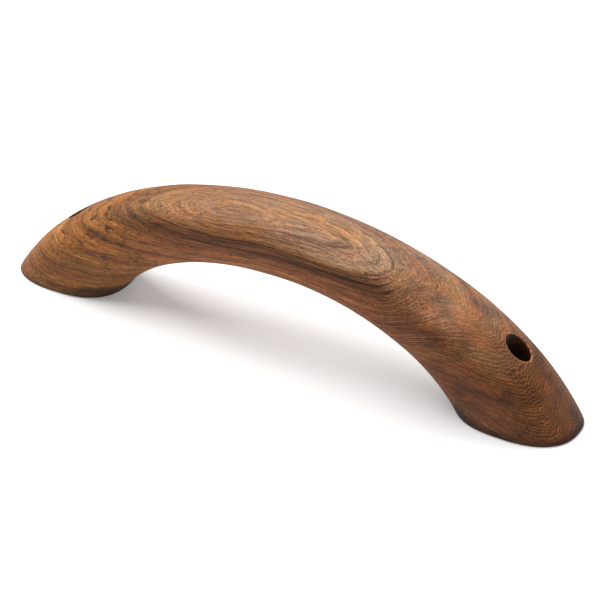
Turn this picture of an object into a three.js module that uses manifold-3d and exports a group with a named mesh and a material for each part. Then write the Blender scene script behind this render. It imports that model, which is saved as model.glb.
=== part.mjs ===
// An arched hardwood grab rail and the two wood screws that fasten it down.
// Lengths are in millimetres, angles in radians, and +Z is up. The origin lies on the mounting plane,
// midway between the two feet. The rail runs along X and the fingers pass under it along Y.

import * as THREE from "three";
import { mergeVertices } from "three/addons/utils/BufferGeometryUtils.js";
import Module from "manifold-3d";

// ---- Driving dimensions -------------------------------------------------------------------------

// The rail's centre line is the upper part of an ellipse whose centre lies below the mounting plane.
const ARCH_HALF_SPAN = 107;
const ARCH_RISE = 72.5;
const ARCH_CENTRE_Z = -26.6;

// The rail is swept a little below the mounting plane and then cut flat to make the feet.
const ARCH_END_ANGLE = 1.42;

// Half the rail's thickness and half its width, at the crown and where the centre line reaches FOOT_ANGLE.
// GROWTH is the power by which the section swells from the crown to the feet.
const FOOT_ANGLE = 1.3;
const CROWN_HALF_THICKNESS = 13.4;
const FOOT_HALF_THICKNESS = 22.7;
const THICKNESS_GROWTH = 2.4;
const CROWN_HALF_WIDTH = 16.7;
const FOOT_HALF_WIDTH = 18.7;
const WIDTH_GROWTH = 2;

// The section is a superellipse: 2 would be an ellipse, and more is squarer with softer corners.
const SECTION_POWER = 2.45;

// A screw hole stands upright through each foot: a wide counterbore, a 45 degree seat, and a shank hole.
const HOLE_X = 98;
const COUNTERBORE_RADIUS = 4.75;
const SHANK_HOLE_RADIUS = 2.4;
const SEAT_TOP_Z = 9;

// Countersunk wood screw, number 8 by 19 mm. Its tip rests just above the mounting plane before driving.
const SCREW_LENGTH = 19;
const SCREW_START_Z = 0.4;
const SCREW_HEAD_RADIUS = 4.1;
const SCREW_HEAD_RIM = 0.35;
const SCREW_SHANK_RADIUS = 2.05;
const SCREW_CORE_RADIUS = 1.5;
const SCREW_POINT_LENGTH = 3.2;
const THREAD_LENGTH = 12.75;
const THREAD_PITCH = 1.7;
const THREAD_CREST = 0.5; // share of the pitch that the ridge covers at its root

// Cross recess in the screw head.
const RECESS_HALF_LENGTH = 2.3;
const RECESS_HALF_WIDTH = 0.6;
const RECESS_DEPTH = 2;
const RECESS_FLOOR_SCALE = 0.5;

// Mesh fineness.
const SECTION_STEPS = 40;
const ARCH_STEPS = 92;
const HOLE_STEPS = 32;
const SCREW_STEPS = 16;
const ROWS_PER_TURN = 8;

// ---- Joining and cutting ------------------------------------------------------------------------

const wasm = await Module();
wasm.setup();

function solidFrom(geometry) {
  const bare = geometry.index ? geometry.toNonIndexed() : geometry.clone();
  bare.deleteAttribute("normal");
  bare.deleteAttribute("uv");
  const merged = mergeVertices(bare, 1e-4);
  return new wasm.Manifold(
    new wasm.Mesh({
      numProp: 3,
      vertProperties: merged.attributes.position.array,
      triVerts: new Uint32Array(merged.index.array),
    }),
  );
}

function geometryFrom(solid) {
  const mesh = solid.getMesh();
  const geometry = new THREE.BufferGeometry();
  geometry.setAttribute("position", new THREE.BufferAttribute(mesh.vertProperties, 3));
  geometry.setIndex(new THREE.BufferAttribute(mesh.triVerts, 1));
  geometry.computeVertexNormals();
  return geometry;
}

// Calls move(point) on every vertex, and stores the point that it has changed.
function moveVertices(geometry, move) {
  const position = geometry.attributes.position;
  const point = new THREE.Vector3();
  for (let i = 0; i < position.count; i += 1) {
    point.fromBufferAttribute(position, i);
    move(point);
    position.setXYZ(i, point.x, point.y, point.z);
  }
  return geometry;
}

// A turned shape about the Z axis, from [radius, height] pairs listed from the bottom up.
function turned(profile, steps) {
  const points = profile.map(([radius, height]) => new THREE.Vector2(radius, height));
  return new THREE.LatheGeometry(points, steps).rotateX(Math.PI / 2);
}

// ---- Rail ---------------------------------------------------------------------------------------

// The centre line, the outward direction and the half sizes of the section at an angle from the crown.
function railSection(angle) {
  const swell = Math.abs(angle) / FOOT_ANGLE;
  const outward = new THREE.Vector2(
    Math.sin(angle) * ARCH_RISE,
    Math.cos(angle) * ARCH_HALF_SPAN,
  ).normalize();
  return {
    x: ARCH_HALF_SPAN * Math.sin(angle),
    z: ARCH_CENTRE_Z + ARCH_RISE * Math.cos(angle),
    outward,
    halfThickness: THREE.MathUtils.lerp(
      CROWN_HALF_THICKNESS,
      FOOT_HALF_THICKNESS,
      swell ** THICKNESS_GROWTH,
    ),
    halfWidth: THREE.MathUtils.lerp(CROWN_HALF_WIDTH, FOOT_HALF_WIDTH, swell ** WIDTH_GROWTH),
  };
}

function squared(value) {
  return Math.sign(value) * Math.abs(value) ** (2 / SECTION_POWER);
}

// A unit cylinder is bent along the centre line, its round section becoming the superellipse.
function sweptRail() {
  const bar = new THREE.CylinderGeometry(1, 1, 2, SECTION_STEPS, ARCH_STEPS);
  return moveVertices(bar, (point) => {
    const section = railSection(point.y * ARCH_END_ANGLE);
    const thickness = squared(point.x) * section.halfThickness;
    const width = squared(point.z) * section.halfWidth;
    point.set(
      section.x + section.outward.x * thickness,
      width,
      section.z + section.outward.y * thickness,
    );
  });
}

function aboveMountingPlane() {
  const size = 4 * ARCH_HALF_SPAN;
  return new THREE.BoxGeometry(size, size, size).translate(0, 0, size / 2);
}

function screwHole(x) {
  const below = -1;
  const above = ARCH_RISE;
  const profile = [
    [0, below],
    [SHANK_HOLE_RADIUS, below],
    [SHANK_HOLE_RADIUS, SEAT_TOP_Z - (COUNTERBORE_RADIUS - SHANK_HOLE_RADIUS)],
    [COUNTERBORE_RADIUS, SEAT_TOP_Z],
    [COUNTERBORE_RADIUS, above],
    [0, above],
  ];
  return turned(profile, HOLE_STEPS).translate(x, 0, 0);
}

function railGeometry() {
  const blank = solidFrom(sweptRail()).intersect(solidFrom(aboveMountingPlane()));
  const drilled = blank
    .subtract(solidFrom(screwHole(-HOLE_X)))
    .subtract(solidFrom(screwHole(HOLE_X)));
  return geometryFrom(drilled);
}

// ---- Screw --------------------------------------------------------------------------------------

// How far the thread ridge stands, from 0 to 1, at a height above the tip and an angle about the axis.
function threadRidge(height, angle) {
  const turn = height / THREAD_PITCH - angle / (2 * Math.PI);
  const fromCrest = Math.abs(turn - Math.round(turn));
  return Math.max(0, 1 - fromCrest / (THREAD_CREST / 2));
}

function screwBlank() {
  const rows = Math.round((THREAD_LENGTH / THREAD_PITCH) * ROWS_PER_TURN);
  const profile = [[0, 0]];
  for (let row = 1; row <= rows; row += 1) {
    const height = (THREAD_LENGTH * row) / rows;
    const taper = Math.min(1, height / SCREW_POINT_LENGTH);
    profile.push([SCREW_CORE_RADIUS * taper, height]);
  }
  const rimBottom = SCREW_LENGTH - SCREW_HEAD_RIM;
  const headBottom = rimBottom - (SCREW_HEAD_RADIUS - SCREW_SHANK_RADIUS);
  profile.push([SCREW_SHANK_RADIUS, THREAD_LENGTH + SCREW_SHANK_RADIUS - SCREW_CORE_RADIUS]);
  profile.push([SCREW_SHANK_RADIUS, headBottom]);
  profile.push([SCREW_HEAD_RADIUS, rimBottom]);
  profile.push([SCREW_HEAD_RADIUS, SCREW_LENGTH]);
  profile.push([0, SCREW_LENGTH]);
  return turned(profile, SCREW_STEPS);
}

// The ridge starts at the point, reaches the shank's radius, and runs out where the shank begins.
function cutThread(geometry) {
  const depth = SCREW_SHANK_RADIUS - SCREW_CORE_RADIUS;
  return moveVertices(geometry, (point) => {
    const radius = Math.hypot(point.x, point.y);
    if (radius < 1e-6 || point.z > THREAD_LENGTH - 1e-6) {
      return;
    }
    const fade = Math.min(1, point.z / SCREW_POINT_LENGTH, (THREAD_LENGTH - point.z) / THREAD_PITCH);
    const ridge = depth * fade * threadRidge(point.z, Math.atan2(point.y, point.x));
    const grown = (radius + ridge) / radius;
    point.x *= grown;
    point.y *= grown;
  });
}

function crossRecess() {
  const long = RECESS_HALF_LENGTH;
  const thin = RECESS_HALF_WIDTH;
  const outline = [];
  for (let quarter = 0; quarter < 4; quarter += 1) {
    const turn = (quarter * Math.PI) / 2;
    for (const corner of [[long, -thin], [long, thin], [thin, thin]]) {
      outline.push(new THREE.Vector2(...corner).rotateAround(new THREE.Vector2(), turn));
    }
  }
  const spare = 0.5;
  const depth = RECESS_DEPTH + spare;
  const cross = new THREE.ExtrudeGeometry(new THREE.Shape(outline), { depth, bevelEnabled: false });
  moveVertices(cross, (point) => {
    if (point.z < depth / 2) {
      point.x *= RECESS_FLOOR_SCALE;
      point.y *= RECESS_FLOOR_SCALE;
    }
  });
  return cross.translate(0, 0, SCREW_LENGTH - RECESS_DEPTH);
}

function screwGeometry() {
  const threaded = solidFrom(cutThread(screwBlank()));
  return geometryFrom(threaded.subtract(solidFrom(crossRecess())));
}

// ---- Assembly -----------------------------------------------------------------------------------

function timber() {
  return new THREE.MeshStandardMaterial({ color: 0x855e43, roughness: 0.5, metalness: 0 });
}

function stainlessSteel() {
  return new THREE.MeshStandardMaterial({ color: 0xb9bbbd, roughness: 0.3, metalness: 1 });
}

function named(name, geometry, material) {
  const mesh = new THREE.Mesh(geometry, material);
  mesh.name = name;
  return mesh;
}

const grabRail = new THREE.Group();
grabRail.add(named("rail_body", railGeometry(), timber()));

for (const [name, x] of [["left_screw", -HOLE_X], ["right_screw", HOLE_X]]) {
  const screw = named(name, screwGeometry(), stainlessSteel());
  screw.position.set(x, 0, SCREW_START_Z);
  grabRail.add(screw);
}

export default grabRail;
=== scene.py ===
"""An arched hardwood grab rail with two wood screws: fine meshes and materials around the CAD frame.

Lengths are in metres, except inside the materials, where they are in millimetres. Angles are in
radians, and +Z is up.
"""

import math

import bmesh
import bpy
import numpy as np
from mathutils import Matrix, Vector, noise


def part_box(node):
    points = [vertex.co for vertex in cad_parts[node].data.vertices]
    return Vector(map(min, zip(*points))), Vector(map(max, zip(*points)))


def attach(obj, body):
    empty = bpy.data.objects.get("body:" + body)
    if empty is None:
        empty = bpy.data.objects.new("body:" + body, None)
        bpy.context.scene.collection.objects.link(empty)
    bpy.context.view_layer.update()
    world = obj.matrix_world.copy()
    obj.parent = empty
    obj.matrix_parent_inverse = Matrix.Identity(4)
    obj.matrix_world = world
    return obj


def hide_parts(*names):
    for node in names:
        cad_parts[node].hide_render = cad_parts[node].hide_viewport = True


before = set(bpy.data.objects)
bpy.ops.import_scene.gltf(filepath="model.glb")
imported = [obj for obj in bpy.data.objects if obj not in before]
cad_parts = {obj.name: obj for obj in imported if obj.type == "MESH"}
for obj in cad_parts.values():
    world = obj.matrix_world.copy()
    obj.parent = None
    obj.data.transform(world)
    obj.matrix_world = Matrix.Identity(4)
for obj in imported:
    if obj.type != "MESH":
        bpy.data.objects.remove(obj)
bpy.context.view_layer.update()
MM = 0.001

# ---- Rail and screws, as in the CAD -------------------------------------------------------------

# The centre line is the upper part of an ellipse whose centre lies below the mounting plane.
ARCH_HALF_SPAN = 107 * MM
ARCH_RISE = 72.5 * MM
ARCH_CENTRE_Z = -26.6 * MM
ARCH_END_ANGLE = 1.42

# Half thickness and half width at the crown and at FOOT_ANGLE, and the powers by which they swell.
FOOT_ANGLE = 1.3
CROWN_HALF_THICKNESS = 13.4 * MM
FOOT_HALF_THICKNESS = 22.7 * MM
THICKNESS_GROWTH = 2.4
CROWN_HALF_WIDTH = 16.7 * MM
FOOT_HALF_WIDTH = 18.7 * MM
WIDTH_GROWTH = 2
SECTION_POWER = 2.45

# Screw holes, each in the middle of its screw's box.
COUNTERBORE_RADIUS = 4.75 * MM
SHANK_HOLE_RADIUS = 2.4 * MM
SEAT_TOP_Z = 9 * MM

# Screws.
HEAD_RADIUS = 4.1 * MM
HEAD_RIM = 0.35 * MM
SHANK_RADIUS = 2.05 * MM
CORE_RADIUS = 1.5 * MM
POINT_LENGTH = 3.2 * MM
THREAD_LENGTH = 12.75 * MM
THREAD_PITCH = 1.7 * MM
THREAD_CREST = 0.5  # share of the pitch that the ridge covers at its root
RECESS_HALF_LENGTH = 2.3 * MM
RECESS_HALF_WIDTH = 0.6 * MM
RECESS_DEPTH = 2 * MM
RECESS_FLOOR_SCALE = 0.5

# ---- What only the fine meshes have -------------------------------------------------------------

# Eased edges round the feet, the mouths of the holes and the screw heads.
BASE_EASE = 1.1 * MM
BASE_EASE_STEPS = 5
MOUTH_EASE = 0.45 * MM
MOUTH_EASE_STEPS = 4
HEAD_EASE = 0.12 * MM

# The unevenness of hand shaping, which fades out near the holes and the foot faces.
UNEVEN_HEIGHT = 0.16 * MM
UNEVEN_LENGTH = 17 * MM
EVEN_ROUND_HOLE = 6 * MM
UNEVEN_FADE_FROM_HOLE = 6 * MM
UNEVEN_FADE_FROM_BASE = 8 * MM

# Fineness. The patch of skin remade round a hole is this long and has this many columns either way.
SECTION_STEPS = 132
ARCH_STEPS = 330
PATCH_HALF_LENGTH = 8.5 * MM
PATCH_COLUMNS = 8
SKIN_TO_MOUTH = (0.3, 0.55, 0.76, 0.91, 1.0)
WALL_STEPS = 5
FOOT_FACE_LOOPS = (0.25, 0.5, 0.72)
SCREW_STEPS = 40
THREAD_ROWS = 150
HALVINGS = 50

RAIL_SHARP_ANGLE = math.radians(38)
SCREW_SHARP_ANGLE = math.radians(35)
RECESS_SHARP_ANGLE = math.radians(30)


# ---- Mesh helpers -------------------------------------------------------------------------------


class Shell:
    """Vertices and faces of one mesh, gathered loop by loop."""

    def __init__(self):
        self.points = []
        self.faces = []

    def add(self, points):
        """Adds points and returns their numbers."""
        first = len(self.points)
        self.points.extend(tuple(map(float, p)) for p in points)
        return list(range(first, len(self.points)))

    def places(self, loop):
        return np.array([self.points[v] for v in loop])

    def band(self, lower, upper):
        """Quads between two closed loops of the same length."""
        n = len(lower)
        for i in range(n):
            j = (i + 1) % n
            self.faces.append((lower[i], lower[j], upper[j], upper[i]))

    def bands(self, loops):
        for lower, upper in zip(loops, loops[1:]):
            self.band(lower, upper)

    def zip_loops(self, outer, inner, centre):
        """Triangles between two closed loops that run the same way round a centre in plan."""
        turn = {}
        for v in outer + inner:
            x, y, _ = self.points[v]
            turn[v] = math.atan2(y - centre[1], x - centre[0]) % math.tau
        outer = rotated(outer, min(range(len(outer)), key=lambda i: turn[outer[i]]))
        inner = rotated(inner, min(range(len(inner)), key=lambda i: turn[inner[i]]))
        i = j = 0
        while i < len(outer) or j < len(inner):
            a, b = outer[i % len(outer)], inner[j % len(inner)]
            next_a = turn[outer[i + 1]] if i + 1 < len(outer) else math.tau + turn[outer[0]]
            next_b = turn[inner[j + 1]] if j + 1 < len(inner) else math.tau + turn[inner[0]]
            if j >= len(inner) or (i < len(outer) and next_a <= next_b):
                self.faces.append((a, outer[(i + 1) % len(outer)], b))
                i += 1
            else:
                self.faces.append((a, inner[(j + 1) % len(inner)], b))
                j += 1

    def turns_left(self, loop, centre_x):
        """Whether a loop runs anticlockwise in plan."""
        a, b = self.places(loop[:2])[:, :2] - [centre_x, 0]
        return a[0] * b[1] - a[1] * b[0] > 0

    def piece(self, name, sharp_angle):
        """The finished object, with outward normals and smooth shading up to sharp_angle."""
        mesh = bpy.data.meshes.new(name)
        mesh.from_pydata(self.points, [], self.faces)
        mesh.validate()
        piece = bpy.data.objects.new(name, mesh)
        bpy.context.scene.collection.objects.link(piece)
        face_outwards(piece)
        mesh.polygons.foreach_set("use_smooth", [True] * len(mesh.polygons))
        mesh.set_sharp_from_angle(angle=sharp_angle)
        return piece


def rotated(loop, first):
    return loop[first:] + loop[:first]


def face_outwards(piece):
    bm = bmesh.new()
    bm.from_mesh(piece.data)
    bmesh.ops.recalc_face_normals(bm, faces=bm.faces)
    if bm.calc_volume(signed=True) < 0:
        bmesh.ops.reverse_faces(bm, faces=bm.faces)
    bm.to_mesh(piece.data)
    bm.free()


# ---- Rail's shape -------------------------------------------------------------------------------


def between(low, high, share):
    return low + (high - low) * share


def rail_section(angle):
    """Centre x and z, outward x and z, half thickness and half width at angles from the crown."""
    swell = np.abs(angle) / FOOT_ANGLE
    out_x, out_z = np.sin(angle) * ARCH_RISE, np.cos(angle) * ARCH_HALF_SPAN
    length = np.hypot(out_x, out_z)
    thickness = between(CROWN_HALF_THICKNESS, FOOT_HALF_THICKNESS, swell**THICKNESS_GROWTH)
    width = between(CROWN_HALF_WIDTH, FOOT_HALF_WIDTH, swell**WIDTH_GROWTH)
    x = ARCH_HALF_SPAN * np.sin(angle)
    z = ARCH_CENTRE_Z + ARCH_RISE * np.cos(angle)
    return x, z, out_x / length, out_z / length, thickness, width


def squared(value):
    return np.sign(value) * np.abs(value) ** (2 / SECTION_POWER)


def rail_points(angle, turn):
    """Points on the rail's surface. Turn 0 is the outer crest, and it grows towards +Y."""
    x, z, out_x, out_z, thickness, width = rail_section(angle)
    rise = squared(np.cos(turn)) * thickness
    return np.stack([x + out_x * rise, squared(np.sin(turn)) * width, z + out_z * rise], -1)


def even_turns(count):
    """Turns that space points evenly round the crown's section, starting on the outer crest."""
    fine = np.linspace(0, math.tau, 4001)
    points = rail_points(np.zeros_like(fine), fine)
    steps = np.linalg.norm(np.diff(points, axis=0), axis=1)
    walked = np.concatenate([[0], np.cumsum(steps)])
    return np.interp(np.arange(count) / count * walked[-1], walked, fine)


def foot_angles(turns, height):
    """The angle from the crown at which each line along the rail comes down to a height."""
    low, high = np.full(len(turns), 0.9), np.full(len(turns), ARCH_END_ANGLE)
    for _ in range(HALVINGS):
        middle = (low + high) / 2
        above = rail_points(middle, turns)[:, 2] > height
        low, high = np.where(above, middle, low), np.where(above, high, middle)
    return (low + high) / 2


def outer_height(x, y):
    """Height of the outer surface above plan points near a screw hole."""
    low, high = np.full(np.shape(x), 0.3), np.full(np.shape(x), ARCH_END_ANGLE)
    for _ in range(HALVINGS):
        middle = (low + high) / 2
        cx, cz, out_x, out_z, thickness, width = rail_section(middle)
        rise = thickness * (1 - np.abs(y / width) ** SECTION_POWER) ** (1 / SECTION_POWER)
        short = cx + out_x * rise < np.abs(x)
        low, high = np.where(short, middle, low), np.where(short, high, middle)
    return cz + out_z * rise


# ---- Rail mesh ----------------------------------------------------------------------------------


def eased_edge(edge, along, across):
    """Loops of points that round an edge off between two directions, by a quadratic curve."""
    for step in range(1, BASE_EASE_STEPS + 1):
        t = step / BASE_EASE_STEPS
        yield edge + (1 - t) ** 2 * along + t**2 * across


def hole_mouth(shell, ring, hole_x):
    """Joins the loop left open in the rail's skin to a screw hole, and returns the hole's lowest loop."""
    away = shell.places(ring)[:, :2] - [hole_x, 0]
    reach = np.linalg.norm(away, axis=1)
    heading = away / reach[:, None]
    mouth = COUNTERBORE_RADIUS + MOUTH_EASE
    loops = [ring]

    def plan_loop(radius):
        return np.array([hole_x, 0]) + heading * np.reshape(radius, (-1, 1))

    def add_loop(plan, height):
        loops.append(shell.add(np.column_stack([plan, height])))

    for t in SKIN_TO_MOUTH:
        plan = plan_loop(between(reach, mouth, t))
        add_loop(plan, outer_height(plan[:, 0], plan[:, 1]))
    rim = plan_loop(mouth)
    rim_height = outer_height(rim[:, 0], rim[:, 1])
    for step in range(1, MOUTH_EASE_STEPS + 1):
        bend = step / MOUTH_EASE_STEPS * math.pi / 2
        drop = MOUTH_EASE * (1 - math.cos(bend))
        add_loop(plan_loop(mouth - MOUTH_EASE * math.sin(bend)), rim_height - drop)
    wall_top = rim_height - MOUTH_EASE
    for step in range(1, WALL_STEPS + 1):
        height = wall_top + (SEAT_TOP_Z - wall_top) * step / WALL_STEPS
        add_loop(plan_loop(COUNTERBORE_RADIUS), height)
    seat_bottom = SEAT_TOP_Z - (COUNTERBORE_RADIUS - SHANK_HOLE_RADIUS)
    for height in (seat_bottom, seat_bottom / 2, 0):
        add_loop(plan_loop(SHANK_HOLE_RADIUS), np.full(len(ring), height))
    shell.bands(loops)
    return loops[-1]


def patch_round(rows, crest, hole_x):
    """The first and last row of the patch of skin round a hole, and the loop of points round it."""
    near = [i for i, x in enumerate(crest) if abs(x - hole_x) < PATCH_HALF_LENGTH]
    first, last = near[0], near[-1]
    ring = [rows[first][j] for j in range(-PATCH_COLUMNS, PATCH_COLUMNS)]
    ring += [rows[i][PATCH_COLUMNS] for i in range(first, last)]
    ring += [rows[last][j] for j in range(PATCH_COLUMNS, -PATCH_COLUMNS, -1)]
    ring += [rows[i][-PATCH_COLUMNS] for i in range(last, first, -1)]
    return first, last, ring


def close_foot(shell, row, outline, hole_x, ring):
    """Rounds the edge of a foot, makes its screw hole, and closes its face down to the hole."""
    centre = np.array([hole_x, 0, 0])
    inward = centre - outline
    inward /= np.linalg.norm(inward, axis=1, keepdims=True)
    above = shell.places(row) - outline
    loops = [row]
    for loop in eased_edge(outline, above, inward * BASE_EASE):
        loops.append(shell.add(loop))
    last = shell.places(loops[-1])
    for t in FOOT_FACE_LOOPS:
        loops.append(shell.add(between(last, centre, t)))
    shell.bands(loops)
    base_loop = loops[-1]
    hole_loop = hole_mouth(shell, ring, hole_x)
    if shell.turns_left(base_loop, hole_x) != shell.turns_left(hole_loop, hole_x):
        hole_loop = hole_loop[::-1]
    if not shell.turns_left(base_loop, hole_x):
        base_loop, hole_loop = base_loop[::-1], hole_loop[::-1]
    shell.zip_loops(base_loop, hole_loop, (hole_x, 0))


def hand_shape(piece, hole_centres):
    """Gives the skin the slight unevenness of hand shaping, and leaves holes and foot faces true."""
    bm = bmesh.new()
    bm.from_mesh(piece.data)
    moves = []
    for vert in bm.verts:
        from_hole = min(math.hypot(vert.co.x - x, vert.co.y) for x in hole_centres)
        past_hole = max(from_hole - EVEN_ROUND_HOLE, 0) / UNEVEN_FADE_FROM_HOLE
        past_base = max(vert.co.z - BASE_EASE, 0) / UNEVEN_FADE_FROM_BASE
        share = min(past_hole, past_base, 1)
        moves.append(vert.normal * (noise.noise(vert.co / UNEVEN_LENGTH) * UNEVEN_HEIGHT * share))
    for vert, move in zip(bm.verts, moves):
        vert.co += move
    bm.to_mesh(piece.data)
    bm.free()


def make_rail(name, hole_centres):
    turns = even_turns(SECTION_STEPS)
    shell = Shell()
    ends = foot_angles(turns, 0)
    outlines = {side: rail_points(side * ends, turns) for side in (-1, 1)}

    # The skin stops short of the foot faces, to leave room for their eased edges.
    small_turn = 0.004
    slope = rail_points(ends - small_turn, turns) - outlines[1]
    ease_height = (slope / np.linalg.norm(slope, axis=1, keepdims=True) * BASE_EASE)[:, 2]
    skin_ends = foot_angles(turns, ease_height)
    rows = []
    for t in np.linspace(-1, 1, ARCH_STEPS + 1):
        rows.append(shell.add(rail_points(t * skin_ends, turns)))

    # Leave a patch of the skin open round each hole.
    crest = np.array([shell.points[row[0]][0] for row in rows])
    left_open = set()
    patch_rings = {}
    for hole_x in hole_centres:
        first, last, patch_rings[hole_x] = patch_round(rows, crest, hole_x)
        for i in range(first, last):
            for j in range(-PATCH_COLUMNS, PATCH_COLUMNS):
                left_open.add((i, j % SECTION_STEPS))
    for i in range(ARCH_STEPS):
        for j in range(SECTION_STEPS):
            if (i, j) not in left_open:
                k = (j + 1) % SECTION_STEPS
                shell.faces.append((rows[i][j], rows[i][k], rows[i + 1][k], rows[i + 1][j]))

    for side, row in ((-1, rows[0]), (1, rows[-1])):
        hole_x = min(hole_centres, key=lambda x: abs(x - side * ARCH_HALF_SPAN))
        close_foot(shell, row, outlines[side], hole_x, patch_rings[hole_x])
    rail = shell.piece(name, RAIL_SHARP_ANGLE)
    hand_shape(rail, hole_centres)
    return rail


# ---- Screw mesh ---------------------------------------------------------------------------------


def thread_ridge(height, angle):
    """How far the thread ridge stands, from 0 to 1, at a height above the tip and an angle."""
    turn = height / THREAD_PITCH - angle / math.tau
    from_crest = abs(turn - round(turn))
    return max(0.0, 1 - from_crest / (THREAD_CREST / 2))


def thread_radius(height):
    """The radius of the threaded part at a height above the tip, as a function of the angle."""
    taper = min(1, height / POINT_LENGTH)
    fade = min(1, height / POINT_LENGTH, (THREAD_LENGTH - height) / THREAD_PITCH)
    depth = (SHANK_RADIUS - CORE_RADIUS) * max(0, fade)
    return lambda angle: CORE_RADIUS * taper + depth * thread_ridge(height, angle)


def shank_and_head(length):
    """Radius and height of each loop from the end of the thread to the top of the head."""
    rim_bottom = length - HEAD_RIM
    head_bottom = rim_bottom - (HEAD_RADIUS - SHANK_RADIUS)
    return [
        (SHANK_RADIUS, THREAD_LENGTH + SHANK_RADIUS - CORE_RADIUS),
        (SHANK_RADIUS, head_bottom - 2 * HEAD_EASE),
        (SHANK_RADIUS + 0.3 * HEAD_EASE, head_bottom - 0.5 * HEAD_EASE),
        (SHANK_RADIUS + 1.4 * HEAD_EASE, head_bottom + 1.4 * HEAD_EASE),
        (HEAD_RADIUS - HEAD_EASE, rim_bottom - HEAD_EASE),
        (HEAD_RADIUS, rim_bottom + 0.4 * HEAD_EASE),
        (HEAD_RADIUS, length - HEAD_EASE),
        (HEAD_RADIUS - 0.3 * HEAD_EASE, length - 0.3 * HEAD_EASE),
        (HEAD_RADIUS - HEAD_EASE, length),
        (HEAD_RADIUS * 0.66, length),
    ]


def make_screw(name, node):
    low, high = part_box(node)
    centre = (low + high) / 2
    shell = Shell()
    angles = [math.tau * k / SCREW_STEPS for k in range(SCREW_STEPS)]

    def loop(radius_at, height):
        return shell.add(
            (
                centre.x + radius_at(a) * math.cos(a),
                centre.y + radius_at(a) * math.sin(a),
                low.z + height,
            )
            for a in angles
        )

    tip = shell.add([(centre.x, centre.y, low.z)])[0]
    loops = []
    for row in range(1, THREAD_ROWS + 1):
        height = THREAD_LENGTH * row / THREAD_ROWS
        loops.append(loop(thread_radius(height), height))
    for radius, height in shank_and_head(high.z - low.z):
        loops.append(loop(lambda a, r=radius: r, height))
    shell.bands(loops)
    for k in range(SCREW_STEPS):
        shell.faces.append((tip, loops[0][(k + 1) % SCREW_STEPS], loops[0][k]))
    shell.faces.append(tuple(loops[-1]))
    screw = shell.piece(name, SCREW_SHARP_ANGLE)
    cut_recess(screw, Vector((centre.x, centre.y, high.z)))
    return screw


def recess_tool(head_centre):
    """A tapered cross, which reaches a little above the head."""
    long, wide = RECESS_HALF_LENGTH, RECESS_HALF_WIDTH
    above = 0.5 * MM
    outline = []
    for c, s in ((1, 0), (0, 1), (-1, 0), (0, -1)):
        for x, y in ((long, -wide), (long, wide), (wide, wide)):
            outline.append((x * c - y * s, x * s + y * c))
    levels = (
        (-RECESS_DEPTH, RECESS_FLOOR_SCALE),
        (-RECESS_DEPTH * 0.9, RECESS_FLOOR_SCALE * 1.25),
        (above, 1.06),
    )
    cutter = Shell()
    loops = []
    for height, scale in levels:
        loops.append(cutter.add(
            (head_centre.x + x * scale, head_centre.y + y * scale, head_centre.z + height)
            for x, y in outline
        ))
    cutter.bands(loops)
    cutter.faces.append(tuple(loops[0][::-1]))
    cutter.faces.append(tuple(loops[-1]))
    return cutter.piece("recess_tool", RECESS_SHARP_ANGLE)


def cut_recess(screw, head_centre):
    """Cuts the tapered cross recess into the head."""
    tool = recess_tool(head_centre)
    cut = screw.modifiers.new("recess", "BOOLEAN")
    cut.operation = "DIFFERENCE"
    cut.solver = "EXACT"
    cut.object = tool
    graph = bpy.context.evaluated_depsgraph_get()
    done = bpy.data.meshes.new_from_object(screw.evaluated_get(graph))
    screw.modifiers.clear()
    screw.data = done
    done.set_sharp_from_angle(angle=SCREW_SHARP_ANGLE)
    bpy.data.objects.remove(tool)


# ---- Node helpers -------------------------------------------------------------------------------


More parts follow.
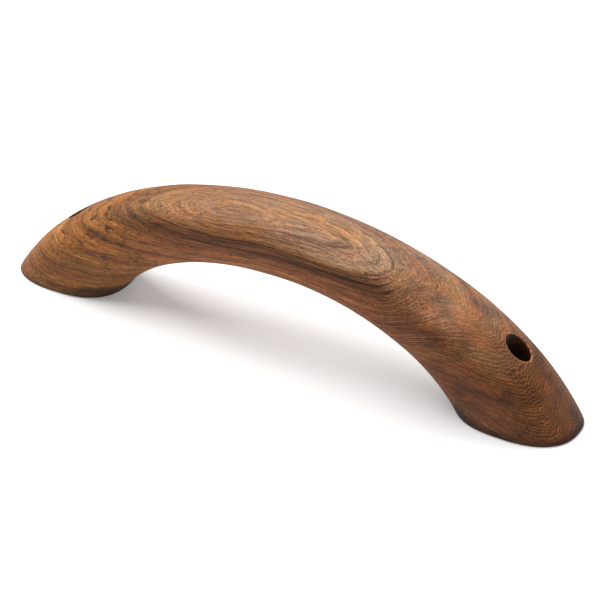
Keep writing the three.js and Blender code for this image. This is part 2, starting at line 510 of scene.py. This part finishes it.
class Recipe:
    """Builds one node material. A socket value may be a number, a tuple or another node's output."""

    def __init__(self, name):
        self.material = bpy.data.materials.new(name)
        self.material.use_nodes = True
        self.tree = self.material.node_tree
        self.tree.nodes.clear()

    def fill(self, socket, value):
        if isinstance(value, bpy.types.NodeSocket):
            self.tree.links.new(value, socket)
        else:
            socket.default_value = value

    def node(self, kind, inputs=(), output=0, **settings):
        made = self.tree.nodes.new(kind)
        for key, value in settings.items():
            setattr(made, key, value)
        for key, value in dict(inputs).items():
            self.fill(made.inputs[key], value)
        return made.outputs[output]

    def math(self, operation, a, b=0.0, c=0.0):
        return self.node("ShaderNodeMath", {0: a, 1: b, 2: c}, operation=operation)

    def plus(self, a, b):
        return self.math("ADD", a, b)

    def times(self, a, b):
        return self.math("MULTIPLY", a, b)

    def times_plus(self, a, b, c):
        """a times b, plus c."""
        return self.math("MULTIPLY_ADD", a, b, c)

    def less(self, mask, share):
        """1 where the mask is 0, and less by the share where it is 1."""
        return self.math("MULTIPLY_ADD", mask, -share, 1.0)

    def vector(self, operation, a, b=(0, 0, 0), output=0, **more):
        return self.node("ShaderNodeVectorMath", {0: a, 1: b, **more}, output, operation=operation)

    def vector_length(self, a):
        return self.node("ShaderNodeVectorMath", {0: a}, output=1, operation="LENGTH")

    def parts(self, vector):
        """The vector's x, y and z."""
        return [self.node("ShaderNodeSeparateXYZ", {0: vector}, output=k) for k in range(3)]

    def combine(self, x=0.0, y=0.0, z=0.0):
        return self.node("ShaderNodeCombineXYZ", {0: x, 1: y, 2: z})

    def straight(self, value, start, end):
        """0 up to the start and 1 from the end, with an even slope between them."""
        return self.node("ShaderNodeMapRange", {0: value, 1: start, 2: end})

    def eased(self, value, start, end):
        """0 up to the start and 1 from the end, with a smooth step between them."""
        inputs = {0: value, 1: start, 2: end}
        return self.node("ShaderNodeMapRange", inputs, interpolation_type="SMOOTHSTEP")

    def noise(self, at, scale=1.0, detail=2.0, roughness=0.5, colour=False):
        inputs = {"Vector": at, "Scale": scale, "Detail": detail, "Roughness": roughness}
        return self.node("ShaderNodeTexNoise", inputs, output=1 if colour else 0)

    def stretched(self, at, sizes, **settings):
        """Noise with features of about these sizes along X, Y and Z."""
        return self.noise(self.vector("MULTIPLY", at, tuple(1 / size for size in sizes)), **settings)

    def ramp(self, factor, stops):
        """A colour ramp. Stops are (position, value), where a value is a number or a colour."""
        made = self.tree.nodes.new("ShaderNodeValToRGB")
        self.tree.links.new(factor, made.inputs[0])
        elements = made.color_ramp.elements
        while len(elements) < len(stops):
            elements.new(0.5)
        for element, (position, value) in zip(elements, stops):
            element.position = position
            colour = (value,) * 3 if isinstance(value, (int, float)) else value
            element.color = (*colour, 1)
        return made.outputs[0]

    def tinted(self, colour, factor, tint):
        """The colour multiplied by a tint, as far as the factor says."""
        if isinstance(tint, tuple):
            tint = (*tint, 1)
        inputs = {0: factor, 6: colour, 7: tint}
        return self.node("ShaderNodeMix", inputs, output=2, data_type="RGBA", blend_type="MULTIPLY")

    def finish(self, **sockets):
        shader = self.tree.nodes.new("ShaderNodeBsdfPrincipled")
        for key, value in sockets.items():
            self.fill(shader.inputs[key.replace("_", " ")], value)
        out = self.tree.nodes.new("ShaderNodeOutputMaterial")
        self.tree.links.new(shader.outputs[0], out.inputs[0])
        return self.material


def millimetres(recipe):
    """The place on the object, in millimetres."""
    place = recipe.node("ShaderNodeTexCoord", output="Object")
    return recipe.vector("SCALE", place, Scale=1 / MM)


def centred(recipe, noise_colour, height):
    """Noise colour turned into an offset of about half the height either way."""
    around_zero = recipe.vector("SUBTRACT", noise_colour, (0.5, 0.5, 0.5))
    return recipe.vector("SCALE", around_zero, Scale=height)


# ---- Timber: places and growth layers -----------------------------------------------------------

# Stretches over which a look comes in, from where it starts to where it is full.
RIGHT_X = (20, 75)
LEFT_X = (-35, -80)
UPPER_FACE_NORMAL_Z = (0.15, 0.65)
# Where the painted sheen on the upper faces comes in along X, and where it goes again.
SHEEN_X = (-20, 45)
SHEEN_END_X = (104, 80)
RIPPLED_X = (55, 98)
ON_TOP_Y = (16, 10)  # distance from the middle of the rail's width
FAN_Y = (-3, -13)
FAN_X = (45, 88)
NEAR_SIDE_Y = (-10, -14.5)
FAR_SIDE_Y = (-2, 4)
FAR_CROWN_X = (-40, 5)
SMUDGED_Z = (12, 26)
TOE_X = (119, 126)
HEEL_X = (101, 82)
CORE_DEPTH = (55.5, 57.5)

LAYER_TILT = 0.46  # how far the layers climb across the rail, for each millimetre towards +Y
RIPPLE_LENGTH = 2.8
RIPPLE_HEIGHT = 0.18
RING_PITCH = 0.88
CLOSE_RING_PITCH = 0.42
CLOSE_RINGS_DEPTH = 52
BLOCK_DEPTH = 64


class TimberFields:
    """Masks from 0 to 1 and growth layers in millimetres, over the whole block of timber."""

    def __init__(self, recipe):
        self.recipe = r = recipe
        self.place = millimetres(r)
        self.x, self.y, self.z = r.parts(self.place)
        self.right = r.eased(self.x, *RIGHT_X)
        self.left = r.eased(self.x, *LEFT_X)
        normal = r.node("ShaderNodeTexCoord", output="Normal")
        self.up = r.eased(r.parts(normal)[2], *UPPER_FACE_NORMAL_Z)
        # Where a painted sheen greys the upper faces.
        sheen_reach = r.times(r.eased(self.x, *SHEEN_X), r.eased(self.x, *SHEEN_END_X))
        self.painted_sheen = r.times(self.up, sheen_reach)
        on_top = r.eased(r.math("ABSOLUTE", self.y), *ON_TOP_Y)
        self.crossing = r.times(r.eased(self.x, *RIPPLED_X), on_top)
        self.grain = self.wandering_place()
        self.depth = self.layer_depth()
        self.layer = r.plus(self.depth, self.fan())
        self.core = r.eased(self.depth, *CORE_DEPTH)
        self.lines = self.along_layers(60, 22, 0.7, 4.0, 0.8)

    def wandering_place(self):
        """The place, moved a little so that what follows it undulates."""
        r = self.recipe
        swell = r.stretched(self.place, (60, 45, 45), detail=1.0, colour=True)
        wave = r.stretched(self.place, (26, 10, 10), detail=2.0, colour=True)
        return r.vector("ADD", self.place, r.vector("ADD", centred(r, swell, 3.5), centred(r, wave, 0.9)))

    def layer_depth(self):
        """Growth layers lie nearly parallel to the feet, tilted across the rail.

        Over the crown they arch a little with the rail, along its near shoulder they are creased,
        and towards the right foot they are finely rippled.
        """
        r, x, y = self.recipe, self.x, self.y
        tilted = r.vector("DOT_PRODUCT", self.grain, (0, -LAYER_TILT, 1.0), output=1)
        from_crown = r.times_plus(x, 1 / 30, 0.15)
        bell = r.math("EXPONENT", r.times(r.times(from_crown, from_crown), -1.0))
        arched = r.times_plus(bell, -2.3, 2.3)
        lean = r.times(r.math("TANH", r.math("DIVIDE", x, 50.0)), -2.0)
        crease = r.times(r.math("MINIMUM", r.plus(y, 8.0), 0.0), 0.2)
        drift = r.times(r.stretched(self.place, (7, 5, 5), detail=1.0), 17.0)
        phase = r.times_plus(r.times_plus(x, 0.2, y), math.tau / RIPPLE_LENGTH, drift)
        ripple_height = r.times_plus(self.crossing, RIPPLE_HEIGHT, 0.04)
        ripple = r.times(r.math("SINE", phase), ripple_height)
        return r.plus(r.plus(tilted, arched), r.plus(r.plus(lean, crease), ripple))

    def fan(self):
        """On the near shoulder of the right foot the layers fan out upwards."""
        r = self.recipe
        where = r.times(r.eased(self.y, *FAN_Y), r.eased(self.x, *FAN_X))
        return r.times(where, r.times_plus(self.x, 0.32, -34.0))

    def along_layers(self, length, width, thickness, detail, roughness):
        """Noise whose features lie along the layers."""
        r = self.recipe
        flat = r.vector("MULTIPLY", self.place, (1 / length, 1 / width, 0))
        spot = r.vector("ADD", flat, r.combine(z=r.math("DIVIDE", self.layer, thickness)))
        return r.noise(spot, detail=detail, roughness=roughness)

    def depth_ramp(self, stops):
        """A ramp whose stops are (depth, value)."""
        scaled = [(depth / BLOCK_DEPTH, value) for depth, value in stops]
        return self.recipe.ramp(self.recipe.math("DIVIDE", self.depth, BLOCK_DEPTH), scaled)


# ---- Timber: colour -----------------------------------------------------------------------------

# Zones of colour through the block, from the foot face up to the crown.
ZONES = [
    # The lowest zone, darker next to the foot faces, is partly dirt and partly painted shade.
    (3, (0.220, 0.085, 0.034)),
    (10, (0.310, 0.114, 0.040)),
    (17, (0.310, 0.112, 0.038)),
    (22, (0.235, 0.082, 0.027)),
    (27, (0.335, 0.122, 0.041)),
    (36, (0.350, 0.128, 0.043)),
    (41, (0.265, 0.092, 0.032)),
    (45, (0.340, 0.130, 0.044)),
    (48.5, (0.310, 0.112, 0.040)),
    (49.8, (0.235, 0.084, 0.031)),
    (51.3, (0.330, 0.124, 0.044)),
    (52.6, (0.280, 0.104, 0.039)),
    (53.9, (0.285, 0.112, 0.043)),
    (55.2, (0.300, 0.120, 0.047)),
    (57, (0.342, 0.150, 0.060)),
    (61, (0.340, 0.156, 0.066)),
]
DARK_BAND = [(50, 0.0), (52, 1.0), (55.6, 1.0), (57, 0.0)]
PLAIN = (1.0, 1.0, 1.0)


def growth_rings(t):
    """From 0 in a dark ring to 1 between rings, which lie closer together near the crown."""
    r = t.recipe
    above = r.math("MAXIMUM", r.plus(t.depth, -CLOSE_RINGS_DEPTH), 0.0)
    closer = r.times(above, 1 / CLOSE_RING_PITCH - 1 / RING_PITCH)
    jitter = r.times(t.along_layers(25, 12, 2.0, 1.0, 0.5), r.times_plus(t.right, -2.8, 4.0))
    turns = r.plus(r.times_plus(t.layer, 1 / RING_PITCH, closer), jitter)
    wave = r.times_plus(r.math("SINE", r.times(turns, math.tau)), 0.5, 0.5)
    return r.math("POWER", wave, r.times_plus(t.right, 0.45, 0.55))


def ring_strength(t):
    r = t.recipe
    strength = r.math("SUBTRACT", r.times_plus(t.crossing, 0.35, 0.65), r.times(t.core, 0.3))
    # Rings fade under the painted sheen.
    return r.times(r.times(strength, r.less(t.painted_sheen, 0.5)), r.less(t.left, 0.35))


def add_grain(t, colour):
    """Streaks, fine lines, fibres and rings along the layers, and speckle."""
    r = t.recipe
    weakened = r.math("MAXIMUM", r.times(t.right, 0.45), r.times(t.core, 0.5))
    # Streaks fade under the painted sheen.
    strength = r.times(r.math("SUBTRACT", 1.0, weakened), r.less(t.painted_sheen, 0.4))
    stops = [(0.32, (0.60, 0.60, 0.62)), (0.50, PLAIN), (0.68, (1.28, 1.33, 1.40))]
    colour = r.tinted(colour, strength, r.ramp(t.along_layers(46, 18, 2.2, 3.0, 0.65), stops))

    strength = r.math("SUBTRACT", r.less(t.crossing, 0.6), r.times(t.left, 0.5))
    stops = [
        (0.32, (0.42, 0.42, 0.44)),
        (0.46, (0.92, 0.92, 0.92)),
        (0.60, (1.12, 1.13, 1.15)),
        (0.72, (1.40, 1.48, 1.60)),
    ]
    colour = r.tinted(colour, strength, r.ramp(t.lines, stops))

    fibre_place = r.combine(
        r.math("DIVIDE", t.x, 15.0), r.math("DIVIDE", t.y, 0.5), r.math("DIVIDE", t.layer, 0.45)
    )
    fibres = r.noise(fibre_place, detail=2.0, roughness=0.6)
    fibres = r.ramp(fibres, [(0.34, 0.56), (0.50, 1.0), (0.66, 1.28)])
    colour = r.tinted(colour, r.less(t.crossing, 0.8), fibres)
    colour = r.tinted(colour, ring_strength(t), r.ramp(growth_rings(t), [(0.0, 0.42), (1.0, 1.24)]))

    speckle = r.stretched(t.place, (1 / 0.9, 1 / 2.4, 1 / 2.4), detail=1.0)
    speckle = r.ramp(speckle, [(0.30, 0.72), (0.50, 1.0), (0.70, 1.28)])
    return r.tinted(colour, r.less(t.crossing, 0.5), speckle)


def add_dark_band(t, colour):
    """The dark band with black lines that runs round the crown's ovals on the near side."""
    r = t.recipe
    band = r.times(t.depth_ramp(DARK_BAND), r.eased(t.y, *NEAR_SIDE_Y))
    black = r.ramp(t.along_layers(60, 14, 0.7, 2.0, 0.6), [(0.42, 1.0), (0.50, 0.0)])
    colour = r.tinted(colour, band, (0.64, 0.60, 0.56))
    return r.tinted(colour, r.times(black, band), (0.34, 0.30, 0.28))


def add_tones(t, colour):
    """Drifts between reddish and tan. The right half is greyer and blotched, the left more golden."""
    r = t.recipe
    tones = [(0.36, (1.05, 0.96, 0.92)), (0.50, PLAIN), (0.64, (0.96, 1.04, 1.05))]
    colour = r.tinted(colour, 1.0, r.ramp(t.along_layers(50, 25, 4.5, 2.0, 0.6), tones))
    colour = r.tinted(colour, r.times(t.right, 0.6), (0.92, 0.94, 1.0))
    blotches = [(0.38, (0.72, 0.76, 0.78)), (0.52, PLAIN), (0.66, (1.20, 1.08, 1.02))]
    blotches = r.ramp(r.stretched(t.grain, (10, 6, 6), detail=2.0), blotches)
    colour = r.tinted(colour, r.times_plus(t.right, 0.7, 0.2), blotches)
    colour = r.tinted(colour, r.times(t.left, 0.7), (1.13, 1.19, 0.72))
    bands = [(0.40, (0.76, 0.74, 0.82)), (0.50, PLAIN), (0.60, (1.03, 1.08, 1.04))]
    bands = r.ramp(t.along_layers(40, 25, 3.2, 1.0, 0.5), bands)
    return r.tinted(colour, r.times(t.left, 0.9), bands)


def add_smudges(t, colour):
    """Dark smudges, nearly all of them high on the left foot."""
    r = t.recipe
    smudges = r.stretched(t.grain, (8, 4, 2.2), detail=3.0, roughness=0.6)
    smudges = r.ramp(smudges, [(0.57, 0.0), (0.61, 1.0)])
    high = r.eased(t.z, *SMUDGED_Z)
    strength = r.times_plus(r.times(t.left, high), 0.8, 0.08)
    return r.tinted(colour, r.times(smudges, strength), (0.24, 0.20, 0.22))


def add_sheen_and_shade(t, colour):
    """Painted sheen greying the upper faces along the right of the crown, and painted shade: deeper,
    darker colour on the sides.
    """
    r = t.recipe
    # Painted sheen: greyish patches on the upper faces.
    patches = r.stretched(t.grain, (16, 8, 8), detail=3.0)
    painted_sheen_patches = r.times(t.painted_sheen, r.times_plus(patches, 1.2, 0.3))
    colour = r.tinted(colour, painted_sheen_patches, (1.38, 1.72, 2.08))
    far = r.eased(t.y, *FAR_SIDE_Y)
    colour = r.tinted(colour, r.times(far, r.straight(t.x, *FAR_CROWN_X)), (0.93, 1.0, 1.14))
    hues = r.times_plus(far, 0.07, r.stretched(t.grain, (20, 8, 8), detail=2.0))
    hues = r.ramp(hues, [(0.40, (1.06, 1.03, 0.88)), (0.50, PLAIN), (0.62, (0.91, 0.94, 1.10))])
    colour = r.tinted(colour, r.math("SUBTRACT", t.up, r.times(t.up, t.left)), hues)
    # Painted shade: the side faces darker and deeper in colour, more so on the right and a little on the
    # left.
    side = r.math("SUBTRACT", 1.0, t.up)
    colour = r.tinted(colour, side, (0.90, 0.82, 0.64))
    colour = r.tinted(colour, r.times(side, t.right), (0.77, 0.76, 0.79))
    return r.tinted(colour, r.times(side, t.left), (0.93, 0.93, 0.95))


def add_dirt_and_shade_on_feet(t, colour):
    """Darker edges round the feet, partly dirt and partly painted shade, widest at the heels that face
    the finger gap.
    """
    r = t.recipe
    height = r.times_plus(r.stretched(t.place, (7, 5, 4), detail=3.0), -4.5, t.z)
    height = r.times_plus(r.eased(t.x, *TOE_X), -1.2, height)
    heel = r.eased(r.math("ABSOLUTE", t.x), *HEEL_X)
    height = r.times_plus(heel, -4.0, height)
    # Painted shade and dirt darken the feet below this height.
    dirt_and_shade = r.straight(height, 0.6, -1.6)
    colour = r.tinted(colour, r.times(dirt_and_shade, 0.85), (0.34, 0.32, 0.33))
    return r.tinted(colour, r.times(dirt_and_shade, heel), (0.55, 0.50, 0.50))


def add_screw_holes(t, colour, hole_x):
    """Painted shade inside the screw holes, partly darker end grain, and a painted highlight in patches
    on their rims.
    """
    r = t.recipe
    bore = COUNTERBORE_RADIUS / MM
    along = r.math("SUBTRACT", r.math("ABSOLUTE", t.x), hole_x)
    distance = r.vector_length(r.combine(along, t.y))
    above_base = r.straight(t.z, 0.3, 1.0)
    # Painted shade inside the hole, partly darker end grain.
    inside = r.times(above_base, r.straight(distance, bore + 0.35, bore + 0.05))
    colour = r.tinted(colour, inside, (0.38, 0.36, 0.36))
    # Painted highlight in patches round the eased rim.
    from_rim = r.math("ABSOLUTE", r.plus(distance, -(bore + 0.5)))
    lip = r.times_plus(along, 0.05, r.noise(t.place, scale=0.9, detail=1.0))
    rim_highlight = r.times(r.straight(from_rim, 0.5, 0.25), r.ramp(lip, [(0.62, 0.0), (0.74, 1.0)]))
    return r.tinted(colour, r.times(above_base, rim_highlight), (2.4, 2.6, 2.8))


def timber(hole_x):
    """Oiled hardwood. hole_x is how far the screw holes are from the middle, in millimetres."""
    r = Recipe("timber")
    t = TimberFields(r)
    colour = add_grain(t, t.depth_ramp(ZONES))
    colour = add_dark_band(t, colour)
    colour = add_tones(t, colour)
    colour = add_smudges(t, colour)
    colour = add_sheen_and_shade(t, colour)

    # Open pores: short dark dashes along the grain.
    dashes = r.stretched(t.grain, (3.5, 1 / 2.6, 1 / 2.6), detail=1.0)
    pores = r.ramp(dashes, [(0.58, 1.0), (0.66, 0.0)])
    colour = r.tinted(colour, 0.6, r.times_plus(pores, 0.62, 0.38))

    colour = add_dirt_and_shade_on_feet(t, colour)
    colour = add_screw_holes(t, colour, hole_x)
    relief = r.plus(pores, r.times(t.lines, 1.2))
    bump = r.node("ShaderNodeBump", {"Strength": 0.35, "Distance": 0.12 * MM, "Height": relief})
    rough = r.node("ShaderNodeMapRange", {0: t.lines, 1: 0.3, 2: 0.7, 3: 0.66, 4: 0.54})
    return r.finish(Base_Color=colour, Roughness=rough, Normal=bump, Specular_IOR_Level=0.26)


# ---- Steel --------------------------------------------------------------------------------------


def stainless_steel():
    r = Recipe("stainless_steel")
    place = millimetres(r)
    turning = r.stretched(place, (1 / 0.6, 1 / 0.6, 1 / 9), scale=1.4, detail=3.0)
    stain = r.noise(place, scale=0.5, detail=3.0)
    colour = r.ramp(stain, [(0.35, (0.36, 0.355, 0.35)), (0.65, (0.50, 0.50, 0.50))])
    rough = r.node("ShaderNodeMapRange", {0: turning, 1: 0.3, 2: 0.7, 3: 0.40, 4: 0.56})
    bump = r.node("ShaderNodeBump", {"Strength": 0.2, "Distance": 0.03 * MM, "Height": turning})
    return r.finish(Base_Color=colour, Metallic=1.0, Roughness=rough, Normal=bump)


# ---- Pieces -------------------------------------------------------------------------------------


def dress(piece, body, node, material):
    piece.data.materials.clear()
    piece.data.materials.append(material)
    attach(piece, body)
    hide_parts(node)


screw_nodes = {"left_screw": "left_fastener", "right_screw": "right_fastener"}
hole_centres = []
for node in screw_nodes:
    low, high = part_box(node)
    hole_centres.append((low.x + high.x) / 2)

rail = make_rail("timber_rail", hole_centres)
dress(rail, "rail", "rail_body", timber(max(hole_centres) / MM))

steel = stainless_steel()
for node, body in screw_nodes.items():
    dress(make_screw(node + "_fine", node), body, node, steel)


# ---- Camera, floor and lights -------------------------------------------------------------------

CAMERA_AZIMUTH = math.radians(30.31)
CAMERA_ELEVATION = math.radians(31.06)
CAMERA_DISTANCE = 0.9125
CAMERA_TARGET_HEIGHT = 0.36  # share of the rail's height
CAMERA_YAW = 0.004631
CAMERA_PITCH = -0.002722
CAMERA_ROLL = 0.012747
CAMERA_LENS_MM = 141.34

FLOOR_HALF_SIZE = 1.2
FLOOR_Z = -0.05 * MM
FLOOR_FADE = (0.8, 0.3)  # distances at which the floor is gone and is whole
FLOOR_GLOW = 0.22
WORLD_LIGHT = 0.14
WORLD_SEEN = 1.0


def make_camera():
    low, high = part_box("rail_body")
    target = Vector((0, 0, low.z + CAMERA_TARGET_HEIGHT * (high.z - low.z)))
    az, el = CAMERA_AZIMUTH, CAMERA_ELEVATION
    back = Vector((math.sin(az) * math.cos(el), -math.cos(az) * math.cos(el), math.sin(el)))
    data = bpy.data.cameras.new("camera")
    data.lens = CAMERA_LENS_MM
    data.sensor_width = 36
    data.clip_start, data.clip_end = 0.01, 20
    camera = bpy.data.objects.new("camera", data)
    bpy.context.scene.collection.objects.link(camera)
    aim = (-back).to_track_quat("-Z", "Y").to_matrix()
    nudge = (
        Matrix.Rotation(-CAMERA_YAW, 3, "Y")
        @ Matrix.Rotation(CAMERA_PITCH, 3, "X")
        @ Matrix.Rotation(CAMERA_ROLL, 3, "Z")
    )
    camera.matrix_world = Matrix.Translation(target + back * CAMERA_DISTANCE) @ (aim @ nudge).to_4x4()
    bpy.context.scene.camera = camera


def area_light(name, place, size, power):
    """A white panel light that faces the origin."""
    data = bpy.data.lights.new(name, "AREA")
    data.shape = "RECTANGLE"
    data.size, data.size_y = size
    data.energy = power
    light = bpy.data.objects.new(name, data)
    light.location = place
    light.rotation_mode = "QUATERNION"
    light.rotation_quaternion = (-Vector(place)).to_track_quat("-Z", "Y")
    bpy.context.scene.collection.objects.link(light)


def make_floor():
    """A pale floor that fades out into the background."""
    size = FLOOR_HALF_SIZE
    corners = [(x, y, FLOOR_Z) for x, y in ((-size, -size), (size, -size), (size, size), (-size, size))]
    mesh = bpy.data.meshes.new("floor")
    mesh.from_pydata(corners, [], [(0, 1, 2, 3)])
    floor = bpy.data.objects.new("floor", mesh)
    bpy.context.scene.collection.objects.link(floor)
    r = Recipe("floor")
    place = r.node("ShaderNodeTexCoord", output="Object")
    material = r.finish(
        Base_Color=r.ramp(r.noise(place, scale=3.0), [(0, 0.80), (1, 0.84)]),
        Roughness=0.8,
        Alpha=r.eased(r.vector_length(place), *FLOOR_FADE),
        Emission_Color=(1, 1, 1, 1),
        Emission_Strength=FLOOR_GLOW,
    )
    mesh.materials.append(material)


def make_world():
    """A white background that gives only a dim light of its own."""
    world = bpy.data.worlds.new("studio")
    world.use_nodes = True
    tree = world.node_tree
    tree.nodes["Background"].inputs[0].default_value = (1, 1, 1, 1)
    seen = tree.nodes.new("ShaderNodeLightPath").outputs["Is Camera Ray"]
    strength = tree.nodes.new("ShaderNodeMapRange")
    strength.inputs["To Min"].default_value = WORLD_LIGHT
    strength.inputs["To Max"].default_value = WORLD_SEEN
    tree.links.new(seen, strength.inputs["Value"])
    tree.links.new(strength.outputs[0], tree.nodes["Background"].inputs[1])
    bpy.context.scene.world = world


make_camera()
make_floor()
make_world()
area_light("key", place=(-0.60, 0.08, 1.25), size=(1.6, 1.4), power=35)
area_light("back", place=(0.1, 1.5, 0.9), size=(2.0, 0.8), power=9)
bpy.context.scene.view_settings.view_transform = "Standard"
